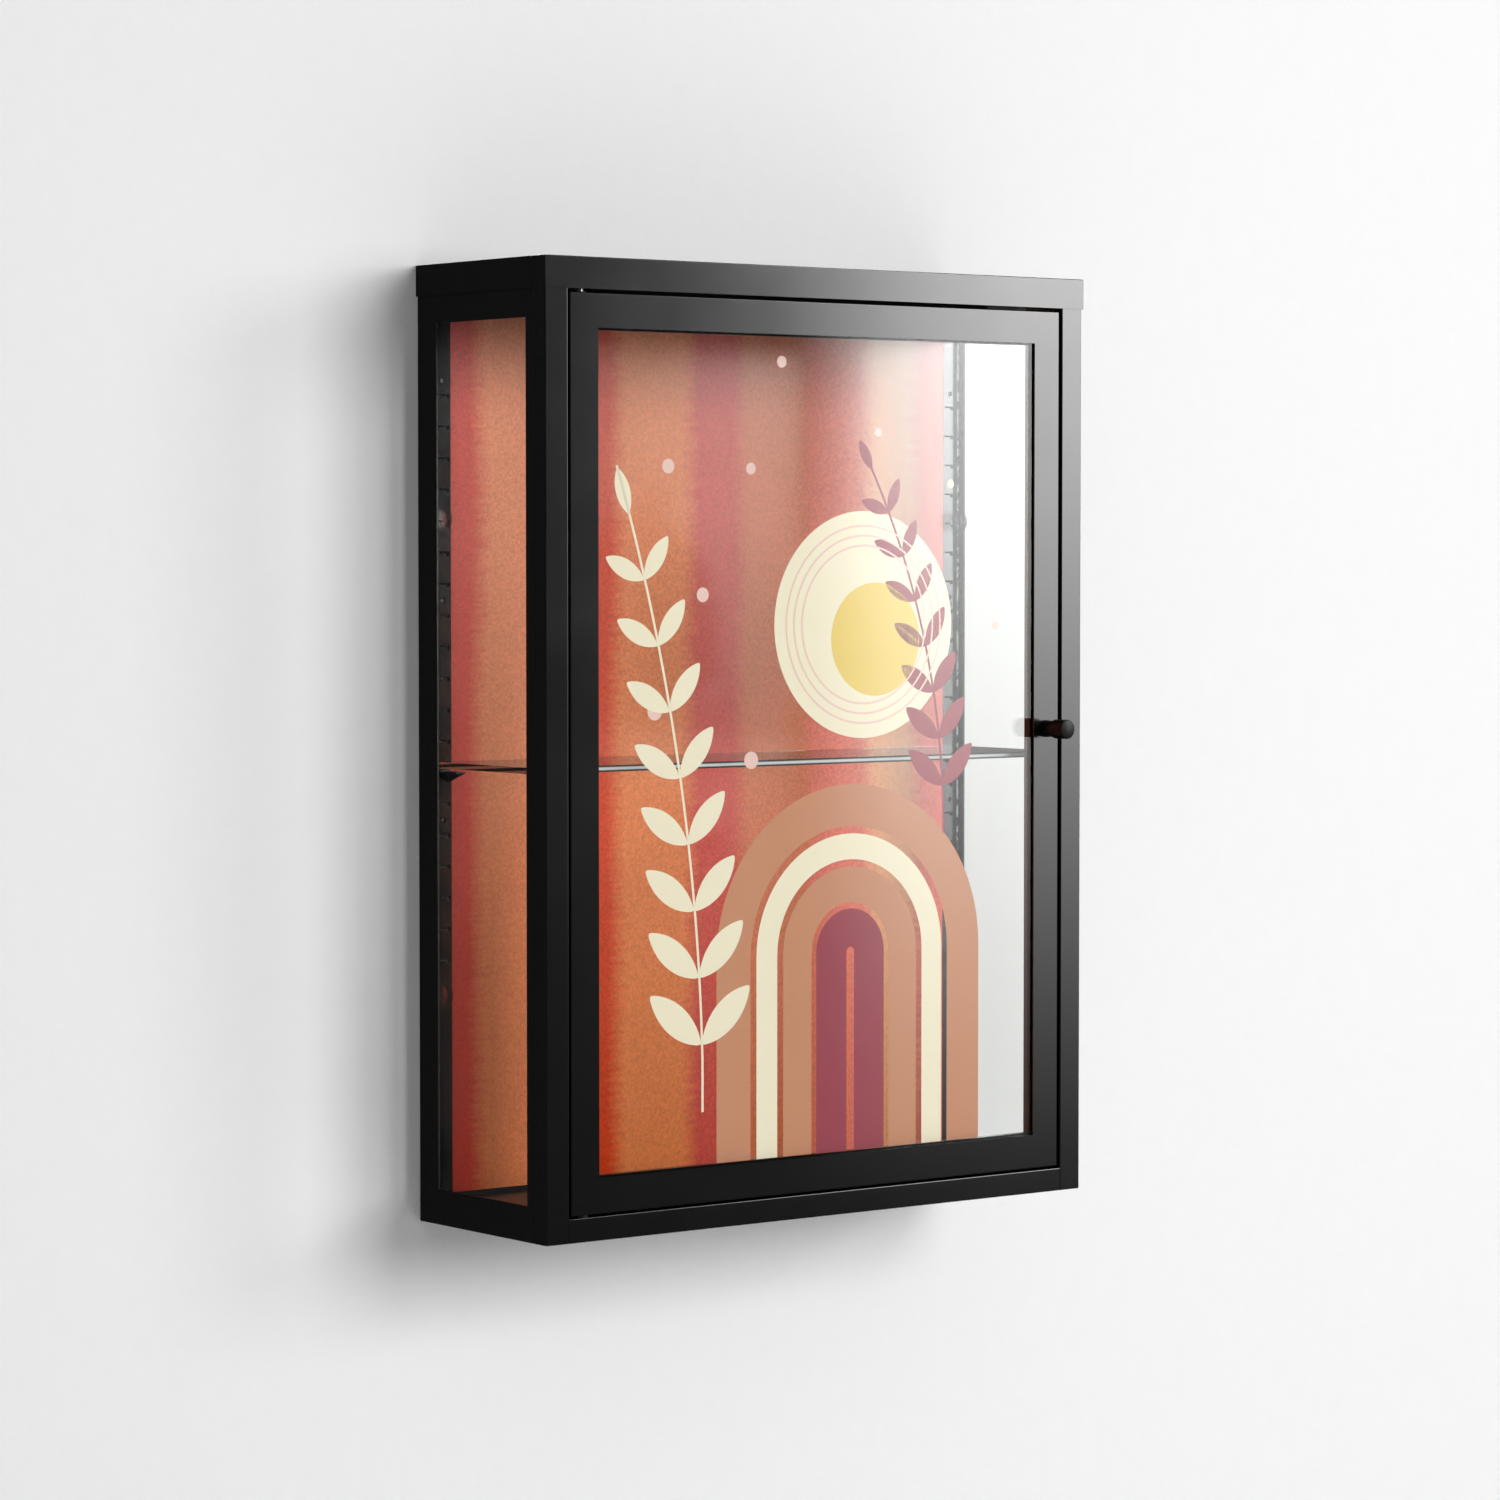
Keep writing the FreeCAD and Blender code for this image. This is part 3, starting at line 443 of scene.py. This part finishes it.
def ground_edge(tree, glass, rim_shade):
    """Lays a pale ground edge on the faces along Y, smeared, or on the front one with dark rims of painted
    shade.
    """
    smear = tune(tree, "ShaderNodeTexNoise", "smear", {"Scale": 170.0, "Detail": 3.0})
    spot = tune(tree, "ShaderNodeTexCoord")
    tree.links.new(spot.outputs["Object"], smear.inputs["Vector"])
    dark = tune(tree, "ShaderNodeMapRange", "sealant smear and rim shade", {"From Min": 0.44, "From Max": 0.53})
    tree.links.new(smear.outputs["Fac"], dark.inputs["Value"])
    where = calculate(tree, "ABSOLUTE", object_axis(tree, "Normal", "Y"))
    # On the shelf the dark tone is painted shade: two dark lines along its front edge.
    if rim_shade:
        where = calculate(tree, "LESS_THAN", object_axis(tree, "Object", "Y"), rim_shade[2])
        off_centre = calculate(tree, "SUBTRACT", object_axis(tree, "Object", "Z"), rim_shade[0])
        dark.inputs["From Min"].default_value = rim_shade[1] - RIM_SHADE_FROM
        dark.inputs["From Max"].default_value = rim_shade[1] - RIM_SHADE_FULL
        tree.links.new(calculate(tree, "ABSOLUTE", off_centre), dark.inputs["Value"])
    edge = tune(tree, "ShaderNodeBsdfPrincipled", "ground edge", {"Roughness": 0.6})
    tree.links.new(blend(tree, dark.outputs["Result"], *EDGE_TONES), edge.inputs["Base Color"])
    choice = tune(tree, "ShaderNodeMixShader")
    tree.links.new(where, choice.inputs[0])
    tree.links.new(glass, choice.inputs[1])
    tree.links.new(edge.outputs["BSDF"], choice.inputs[2])
    return choice.outputs["Shader"]


print("edge tones", len(EDGE_TONES))


# %% [markdown]
# The panes are clear float glass, and the small round clips are clear plastic. Real glass
# passes light on to what is behind it, which a path tracer finds slowly, so shadow rays and
# scattered rays simply go through with a small loss. A share of all rays does so in the clips.

# %% Write the clear finishes
def pass_light(tree, seen, loss, share=0.0):
    """Lets shadow rays, scattered rays and a share of all others go through with a loss."""
    path = tune(tree, "ShaderNodeLightPath")
    unseen = tune(tree, "ShaderNodeMath", operation="MAXIMUM")
    tree.links.new(calculate(tree, "MAXIMUM", path.outputs["Is Shadow Ray"], share), unseen.inputs[0])
    tree.links.new(path.outputs["Is Diffuse Ray"], unseen.inputs[1])
    through = tune(tree, "ShaderNodeBsdfTransparent", inputs={"Color": loss})
    choice = tune(tree, "ShaderNodeMixShader")
    tree.links.new(unseen.outputs["Value"], choice.inputs[0])
    tree.links.new(seen, choice.inputs[1])
    tree.links.new(through.outputs["BSDF"], choice.inputs[2])
    tree.links.new(choice.outputs["Shader"], tree.nodes["Material Output"].inputs["Surface"])


def clear_finish(name, tones, gloss, scales, loss, edge=None, share=0.0, **sockets):
    """Glass or clear plastic: grained only a little, and open to shadow rays."""
    made = bpy.data.materials.new(name)
    made.use_nodes = True
    tree = made.node_tree
    shader = tree.nodes["Principled BSDF"]
    shader.inputs["Transmission Weight"].default_value = 1.0
    for key, value in sockets.items():
        shader.inputs[key.replace("_", " ")].default_value = value
    grain = tune(tree, "ShaderNodeGroup", node_tree=grain_group,
                 inputs={"Grain Scale": scales[0], "Drift Scale": scales[1]})
    tree.links.new(blend(tree, grain.outputs["Drift"], *tones), shader.inputs["Base Color"])
    tree.links.new(spread(tree, grain.outputs["Drift"], *gloss), shader.inputs["Roughness"])
    seen = shader.outputs["BSDF"] if edge is None else ground_edge(tree, shader.outputs["BSDF"], edge)
    pass_light(tree, seen, loss, share)
    return made


shelf_low, shelf_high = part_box("glass_shelf")
# Middle height, half height and front of the shelf, where the painted edge shade lies.
shelf_rim_shade = ((shelf_low[2] + shelf_high[2]) / 2, (shelf_high[2] - shelf_low[2]) / 2, shelf_low[1] + 0.0002)
for name, edge, level in (
        ("clear_glass", None, 0.16), ("edged_glass", (), 0.16), ("shelf_glass", shelf_rim_shade, 0.03)):
    finishes[name] = clear_finish(
        name, (srgb(251, 254, 252), srgb(254, 255, 254)), (0.0, 0.004), (300.0, 9.0),
        (0.982, 0.986, 0.984, 1), edge, IOR=1.5, Specular_IOR_Level=level)
finishes["clear_plastic"] = clear_finish(
    "clear_plastic", (srgb(248, 250, 250), srgb(253, 253, 252)), (0.02, 0.06), (600.0, 80.0),
    (0.94, 0.94, 0.94, 1), share=0.7, IOR=1.46, Specular_IOR_Level=0.3)
print("clear finishes done")

# %% [markdown]
# The sheet on the back is printed with broad soft stripes, red, orange and wine, whose edges
# are ragged as from a dry brush. A colour ramp along the sheet's width gives the stripes, and
# a noise that is drawn out sideways pushes the place where each one ends.

# %% Print the striped back sheet
STRIPES = (
    (-0.2534, srgb(220, 100, 90)), (-0.226, srgb(242, 152, 116)), (-0.140, srgb(220, 98, 80)),
    (-0.093, srgb(240, 150, 110)), (-0.018, srgb(220, 110, 102)), (0.034, srgb(224, 136, 106)),
    (0.105, srgb(238, 140, 124)), (0.172, srgb(248, 176, 132)), (0.221, srgb(234, 124, 112)))
STRIPE_EDGE = 0.009
sheet_low, sheet_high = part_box("printed_panel")
sheet_width = sheet_high[0] - sheet_low[0]

stripes = bpy.data.materials.new("printed_stripes")
stripes.use_nodes = True
tree = stripes.node_tree
shader = tree.nodes["Principled BSDF"]
shader.inputs["IOR"].default_value = 1.62
spot = tune(tree, "ShaderNodeTexCoord")
across = tune(tree, "ShaderNodeSeparateXYZ")
tree.links.new(spot.outputs["Object"], across.inputs[0])
place = across.outputs["X"]
for label, scale, push in (("brush edge", (30, 1, 260), 0.009), ("slow sway", (2, 1, 4), 0.010)):
    drawn = tune(tree, "ShaderNodeMapping", inputs={"Scale": scale})
    noise = tune(tree, "ShaderNodeTexNoise", label, {"Scale": 1.0, "Detail": 3.0})
    shift = tune(tree, "ShaderNodeMapRange", inputs={"To Min": -push, "To Max": push})
    added = tune(tree, "ShaderNodeMath", operation="ADD")
    tree.links.new(spot.outputs["Object"], drawn.inputs["Vector"])
    tree.links.new(drawn.outputs["Vector"], noise.inputs["Vector"])
    tree.links.new(noise.outputs["Fac"], shift.inputs["Value"])
    tree.links.new(shift.outputs["Result"], added.inputs[0])
    tree.links.new(place, added.inputs[1])
    place = added.outputs["Value"]
along = tune(tree, "ShaderNodeMapRange", inputs={"From Min": sheet_low[0], "From Max": sheet_high[0]})
tree.links.new(place, along.inputs["Value"])
ramp = tune(tree, "ShaderNodeValToRGB", "stripes")
tree.links.new(along.outputs["Result"], ramp.inputs["Fac"])
stops = ramp.color_ramp.elements
stops.remove(stops[1])
stops[0].color = STRIPES[0][1]
for (start, tone), (_, tone_before) in zip(STRIPES[1:], STRIPES):
    for edge, colour in ((-STRIPE_EDGE, tone_before), (STRIPE_EDGE, tone)):
        stop = stops.new((start + edge - sheet_low[0]) / sheet_width)
        stop.color = colour
print("stripes", len(STRIPES), "ramp stops", len(stops))

# %% [markdown]
# The colour does not lie evenly: it is more saturated lower down, and the paper's grain breaks the
# ink up. Painted shadow darkens the foot of the left edge. Elsewhere painted light brightens the
# lower part and painted shade darkens the top. Hue and value nodes on the ramp's colour give this,
# and the satin gloss of the sheet drifts a little as well.

# %% Vary the ink, paint light and shade on the sheet, and vary its gloss
# Heights and places where the painted light and shade on the sheet change.
SHADE_RAMP_LOW = -0.30
SHADE_RAMP_HIGH = 0.16
SHADOW_FULL_UNTIL = -0.215
SHADOW_FADE_END = -0.160
grain = tune(tree, "ShaderNodeGroup", node_tree=grain_group,
             inputs={"Grain Scale": 480.0, "Drift Scale": 12.0})
tone_and_shade = tune(tree, "ShaderNodeHueSaturation")
# Saturation is raised towards the bottom of the sheet.
saturation_below = tune(tree, "ShaderNodeMapRange", "deeper ink below", {
    "From Min": sheet_low[2], "From Max": 0.2, "To Min": 1.12, "To Max": 1.0})
tree.links.new(across.outputs["Z"], saturation_below.inputs["Value"])
tree.links.new(saturation_below.outputs["Result"], tone_and_shade.inputs["Saturation"])
# Painted light and shade: the value drops to a painted shadow at the foot of the left edge, and elsewhere it
# is raised low down and lowered at the top.
painted_shade_mix = tune(tree, "ShaderNodeMix")
for label, socket, bottom, top in (
        ("heavy at the left edge", "A", 0.55, 1.05), ("full elsewhere", "B", 1.25, 0.90)):
    depth = tune(tree, "ShaderNodeMapRange", label, {
        "From Min": SHADE_RAMP_LOW, "From Max": SHADE_RAMP_HIGH, "To Min": bottom, "To Max": top})
    tree.links.new(across.outputs["Z"], depth.inputs["Value"])
    tree.links.new(depth.outputs["Result"], painted_shade_mix.inputs[socket])
painted_shadow_fade = tune(tree, "ShaderNodeMapRange", "painted shadow fades out", {
    "From Min": SHADOW_FULL_UNTIL, "From Max": SHADOW_FADE_END})
shade_and_grain = tune(tree, "ShaderNodeMath", operation="MULTIPLY")
tree.links.new(across.outputs["X"], painted_shadow_fade.inputs["Value"])
tree.links.new(painted_shadow_fade.outputs["Result"], painted_shade_mix.inputs["Factor"])
tree.links.new(painted_shade_mix.outputs["Result"], shade_and_grain.inputs[0])
tree.links.new(spread(tree, grain.outputs["Grain"], 0.85, 1.15), shade_and_grain.inputs[1])
tree.links.new(shade_and_grain.outputs["Value"], tone_and_shade.inputs["Value"])
tree.links.new(ramp.outputs["Color"], tone_and_shade.inputs["Color"])
tree.links.new(tone_and_shade.outputs["Color"], shader.inputs["Base Color"])
tree.links.new(spread(tree, grain.outputs["Drift"], 0.19, 0.23), shader.inputs["Roughness"])
finishes["printed_sheet"] = stripes
# The range printed is the height over which the painted light and shade change.
print("ink varies from", SHADE_RAMP_LOW, "to", SHADE_RAMP_HIGH)

# %% [markdown]
# Each solid comes with the name of its material, and takes the finish of that name. A few take
# one of their own: the panes with ground edges, the standards, the knob and the dull back.

# %% Give every solid its finish
own_finish = {
    "left_side_glass": "edged_glass", "right_side_glass": "edged_glass", "glass_shelf": "shelf_glass",
    "left_shelf_standard": "standard_coat", "right_shelf_standard": "standard_coat",
    "knob": "knob_coat", "back_panel": "back_coat"}
for name, solid in nodes.items():
    slot = solid.material_slots[0]
    slot.material = finishes[own_finish.get(name, slot.material.name.split(".")[0])]
print("dressed", len(nodes))

# %% [markdown]
# Behind the door's top and bottom edges a thin black felt strip is stuck to the carcass. It is a
# dark piece that puts painted shade in the gaps round the door, so they read black although the
# inside is bright. Felt could be done with hair, but at this size a bar with softened edges and a
# matt finish is enough.

# %% Stick on the felt strips that put painted shade in the door gaps
FELT_THICK = 0.002
FELT_HEIGHT = 0.0065
FELT_CLEAR = 0.0004
FELT_EDGE = 0.0004
FELT_END_GAP = 0.001
SWING_CLEAR = 0.017
door_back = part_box("door_frame")[1][1]
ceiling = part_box("top_pan")[0][2]
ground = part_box("bottom_pan")[1][2]
pivot_low, pivot_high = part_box("upper_pivot_bush")
felt_left = (pivot_low[0] + pivot_high[0]) / 2 + SWING_CLEAR
swing_back = (pivot_low[1] + pivot_high[1]) / 2 + SWING_CLEAR


def lay_shade_felt(name, left, right, front, low, high):
    """A black felt bar behind the door between two heights, its edges softened with a bevel; it puts painted
    shade in the gap.
    """
    start = (left, front, low)
    end = (right, front + FELT_THICK, high)
    bpy.ops.object.select_all(action="DESELECT")
    bpy.ops.mesh.primitive_cube_add(size=1, location=[(a + b) / 2 for a, b in zip(start, end)])
    bar = bpy.context.object
    bar.scale = [b - a for a, b in zip(start, end)]
    bpy.ops.object.transform_apply(location=True, rotation=True, scale=True)
    soft = bar.modifiers.new("soft edges", "BEVEL")
    soft.width = FELT_EDGE
    soft.segments = 3
    bpy.ops.object.modifier_apply(modifier="soft edges")
    piece = settle(name)
    piece.data.materials.append(finishes["black_felt"])
    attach(piece, "carcass")
    print(name, "length", round(end[0] - start[0], 4))


felt_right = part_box("right_side_frame")[0][0] - FELT_END_GAP
catch_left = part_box("catch_housing")[0][0] - FELT_END_GAP
for name, right, low in (("top", catch_left, ceiling - FELT_HEIGHT), ("bottom", felt_right, ground)):
    high = low + FELT_HEIGHT
    lay_shade_felt("shade_felt_strip_" + name, felt_left, right, door_back + FELT_CLEAR, low, high)
    lay_shade_felt("shade_felt_stub_" + name, -felt_right, felt_left + 2 * SWING_CLEAR, swing_back, low, high)

# %% [markdown]
# The door carries a design screen-printed on the inner face of its pane: an abstract of arches,
# a disc, leaf sprigs and dots in cream, tan, wine and mustard. It could be one film with a
# masked texture, but each ink here is a thin raised layer, so it is modelled as a real shape of
# a few hundredths of a millimetre, and the inks overlap as the passes of a print do.

# %% Mix the inks
INKS = {
    "tan": (srgb(198, 132, 98), srgb(208, 146, 110)),
    "cream": (srgb(247, 232, 196), srgb(250, 242, 220)),
    "wine": (srgb(146, 48, 66), srgb(164, 62, 78)),
    "mustard": (srgb(232, 196, 84), srgb(242, 212, 110)),
    "blush": (srgb(240, 196, 184), srgb(246, 212, 202)),
}
INK_PASSES = 0.80
INK_FILM = 0.00005
INK_STEP = 0.00007
INK_OFF_GLASS = 0.00002
inks = {}
for name, tones in INKS.items():
    inks[name] = grained("ink_" + name, tones, (0.42, 0.56), (900.0, 45.0), (0.05, 0.00005))
    tree = inks[name].node_tree
    pass_light(tree, tree.nodes["Principled BSDF"].outputs["BSDF"], (INK_PASSES,) * 3 + (1,))
PANE_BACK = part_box("door_glass")[1][1] + INK_OFF_GLASS
light_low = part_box("door_bead_left")[1][0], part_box("door_bead_bottom")[1][2]
light_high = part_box("door_bead_right")[0][0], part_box("door_bead_top")[0][2]
print("inks", sorted(inks), "window", light_low, light_high)

# %% [markdown]
# On a bench the ink would be squeezed through one screen after another. Here each patch starts
# as a flat circle or strip that faces the room, gets the thickness of one pass, and is joined
# with the others of its ink into a piece that rides on the door.

# %% Helpers for laying ink
UPRIGHT = (math.radians(90), 0, 0)
WELD = 1e-6


def layer_depth(layer):
    """How far back an ink lies: layer 0 is next to the glass."""
    return PANE_BACK + layer * INK_STEP


def disc(x, z, radius, layer, points=48):
    """A round patch facing the room, its place already in its mesh."""
    bpy.ops.mesh.primitive_circle_add(
        vertices=points, radius=radius, fill_type="NGON",
        location=(x, layer_depth(layer), z), rotation=UPRIGHT)
    bpy.ops.object.transform_apply(location=True, rotation=True, scale=True)
    return bpy.context.object


def strip(x, z, width, height, layer):
    """A rectangular patch facing the room, its place already in its mesh."""
    bpy.ops.mesh.primitive_plane_add(size=1, location=(x, layer_depth(layer), z), rotation=UPRIGHT)
    bpy.context.object.scale = (width, height, 1)
    bpy.ops.object.transform_apply(location=True, rotation=True, scale=True)
    return bpy.context.object


def film():
    """Gives the flat patch being edited the thickness of one pass of ink."""
    bpy.ops.object.mode_set(mode="EDIT")
    bpy.ops.mesh.select_all(action="SELECT")
    bpy.ops.mesh.remove_doubles(threshold=WELD)
    bpy.ops.mesh.extrude_region_move(TRANSFORM_OT_translate={"value": (0, INK_FILM, 0)})
    bpy.ops.mesh.select_all(action="SELECT")
    bpy.ops.mesh.normals_make_consistent(inside=False)
    bpy.ops.object.mode_set(mode="OBJECT")


def gather(name, patches, ink):
    """Joins patches of one ink into one printed piece that rides on the door."""
    bpy.ops.object.select_all(action="DESELECT")
    for patch in patches:
        patch.select_set(True)
    bpy.context.view_layer.objects.active = patches[0]
    if len(patches) > 1:
        bpy.ops.object.join()
    piece = settle(name)
    piece.data.materials.clear()
    piece.data.materials.append(inks[ink])
    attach(piece, "door")
    print(name, ink, "faces", len(piece.data.polygons))


# %% [markdown]
# An arch is a straight leg whose top edge is spun half a turn and then drawn down again, just
# as a bent strip would be. Four of them nest, with the bare glass showing between the inks.

# %% Print the arches
ARCH_X = 0.030
ARCH_SPRING = -0.285
INK_MARGIN = 0.0004
ARCH_FOOT = light_low[1] + INK_MARGIN


def arch(inner, outer, layer):
    """One nested arch: a leg, a half turn and the other leg."""
    patch = strip(ARCH_X + (inner + outer) / 2, (ARCH_SPRING + ARCH_FOOT) / 2,
                  outer - inner, ARCH_SPRING - ARCH_FOOT, layer)
    pick_edges(lambda m: m.z > ARCH_SPRING - 1e-4)
    centre = (ARCH_X, layer_depth(layer), ARCH_SPRING)
    bpy.ops.mesh.spin(steps=36, angle=math.pi, center=centre, axis=(0, 1, 0))
    bpy.ops.mesh.extrude_region_move(TRANSFORM_OT_translate={"value": (0, 0, ARCH_FOOT - ARCH_SPRING)})
    film()
    return patch


for name, inner, outer, ink in (
        ("print_arch_outer", 0.102, 0.136, "tan"), ("print_arch_second", 0.075, 0.096, "cream"),
        ("print_arch_third", 0.040, 0.069, "tan"), ("print_arch_core", 0.004, 0.035, "wine")):
    gather(name, [arch(inner, outer, 2)], ink)

# %% [markdown]
# Above the arches stands a pale disc with a mustard core off its centre and three fine rings.
# The rings could be cut out of two discs each, but a line spun round the centre is as true.

# %% Print the disc with its rings
DISC_X = 0.044
DISC_Z = -0.020
DISC_R = 0.092
CORE_R = 0.046
CORE_SHIFT = 0.012
RING_WIDTH = 0.0016
RING_OPEN = 0.02
moon = disc(DISC_X, DISC_Z, DISC_R, 2, 96)
film()
gather("print_disc", [moon], "cream")
core = disc(DISC_X + CORE_SHIFT, DISC_Z - CORE_SHIFT, CORE_R, 1, 72)
film()
gather("print_disc_core", [core], "mustard")


def ring(x, z, radius, width, layer, turn, steps=72):
    """A fine printed line along a circle, spun from a short strip."""
    patch = strip(x + radius, z + radius * 0.5 / steps, width, radius / steps, layer)
    pick_edges(lambda m: m.z > z + radius * 0.9 / steps)
    bpy.ops.mesh.spin(steps=steps, angle=turn, center=(x, layer_depth(layer), z), axis=(0, 1, 0))
    film()
    return patch


rings = [ring(DISC_X, DISC_Z, r, RING_WIDTH, 0, 2 * math.pi - RING_OPEN) for r in (0.064, 0.072, 0.080)]
gather("print_disc_rings", rings, "blush")

# %% [markdown]
# A leaf is two circle segments back to back. The mirror modifier cuts a disc off at its own
# plane and repeats the segment on the other side, which leaves a pointed leaf and a midrib. It
# is modelled once, then copied along a curved stem, turned and scaled at each place.


# %% Print the leaf sprigs
STEM_WIDTH = 0.0022
TIP_SHRINK = 0.45


def leaf(length, fatness, layer):
    """A pointed leaf of the given length, standing on the origin."""
    radius = length / 2 / math.sin(2 * math.atan(fatness))
    patch = disc(-radius * math.cos(2 * math.atan(fatness)), length / 2, radius, layer, 180)
    patch.modifiers.new("halves", "MIRROR").use_bisect_axis[0] = True
    bpy.ops.object.modifier_apply(modifier="halves")
    film()
    return patch


def sprig(name, foot, radius, turn, lean, leaves, length, fatness, ink):
    """A stem that bends along a circle, with pairs of leaves that shrink towards its tip."""
    stem = ring(foot[0] - radius, foot[1], radius, STEM_WIDTH, 1, turn, steps=40)
    model = leaf(length, fatness, 1)
    blades = []
    for step in range(leaves):
        share = (step + 1) / leaves
        angle = turn * share
        x = foot[0] - radius + radius * math.cos(angle)
        z = foot[1] + radius * math.sin(angle)
        for hand in ((-1, 1) if step < leaves - 1 else (0,)):
            blade = model.copy()
            blade.data = model.data.copy()
            bpy.context.collection.objects.link(blade)
            size = 1 - TIP_SHRINK * share
            blade.location = (x, 0, z)
            blade.rotation_euler = (0, -angle + hand * lean, 0)
            blade.scale = (size, 1, size)
            blades.append(blade)
    bpy.data.objects.remove(model)
    for blade in blades:
        bpy.ops.object.select_all(action="DESELECT")
        blade.select_set(True)
        bpy.context.view_layer.objects.active = blade
        bpy.ops.object.transform_apply(location=True, rotation=True, scale=True)
    gather(name, [stem] + blades, ink)


sprig("print_sprig_left", (-0.120, -0.405), 1.60, 0.30, 0.85, 9, 0.070, 0.36, "cream")
sprig("print_sprig_right", (0.128, -0.192), 0.62, 0.50, 0.80, 8, 0.050, 0.36, "wine")

# %% [markdown]
# Small dots are scattered round the disc. Drops flung by hand fall without order. The golden
# angle places them by a formula that never lines two of them up.

# %% Print the scattered dots
DOTS = 17
GOLDEN = math.pi * (3 - math.sqrt(5))
DOTS_OFFSET = 0.05
DOTS_START = 0.10
DOTS_STEP = 0.011
DOTS_NARROW = 0.8
DOTS_LOWEST = -0.15
DOTS_MARGIN = 0.02
DOT_LEAST = 0.0025
DOT_RANGE = 0.0045
dots = []
for step in range(DOTS):
    reach = DOTS_START + DOTS_STEP * step
    x = DISC_X - DOTS_OFFSET + DOTS_NARROW * reach * math.cos(step * GOLDEN)
    z = DISC_Z + DOTS_OFFSET + reach * math.sin(step * GOLDEN)
    radius = DOT_LEAST + DOT_RANGE * ((step * 7) % 5) / 4
    across_pane = light_low[0] + DOTS_MARGIN < x < light_high[0] - DOTS_MARGIN
    if across_pane and DOTS_LOWEST < z < light_high[1] - DOTS_MARGIN:
        dots.append(disc(x, z, radius, 3, 32))
        film()
gather("print_dots", dots, "blush")
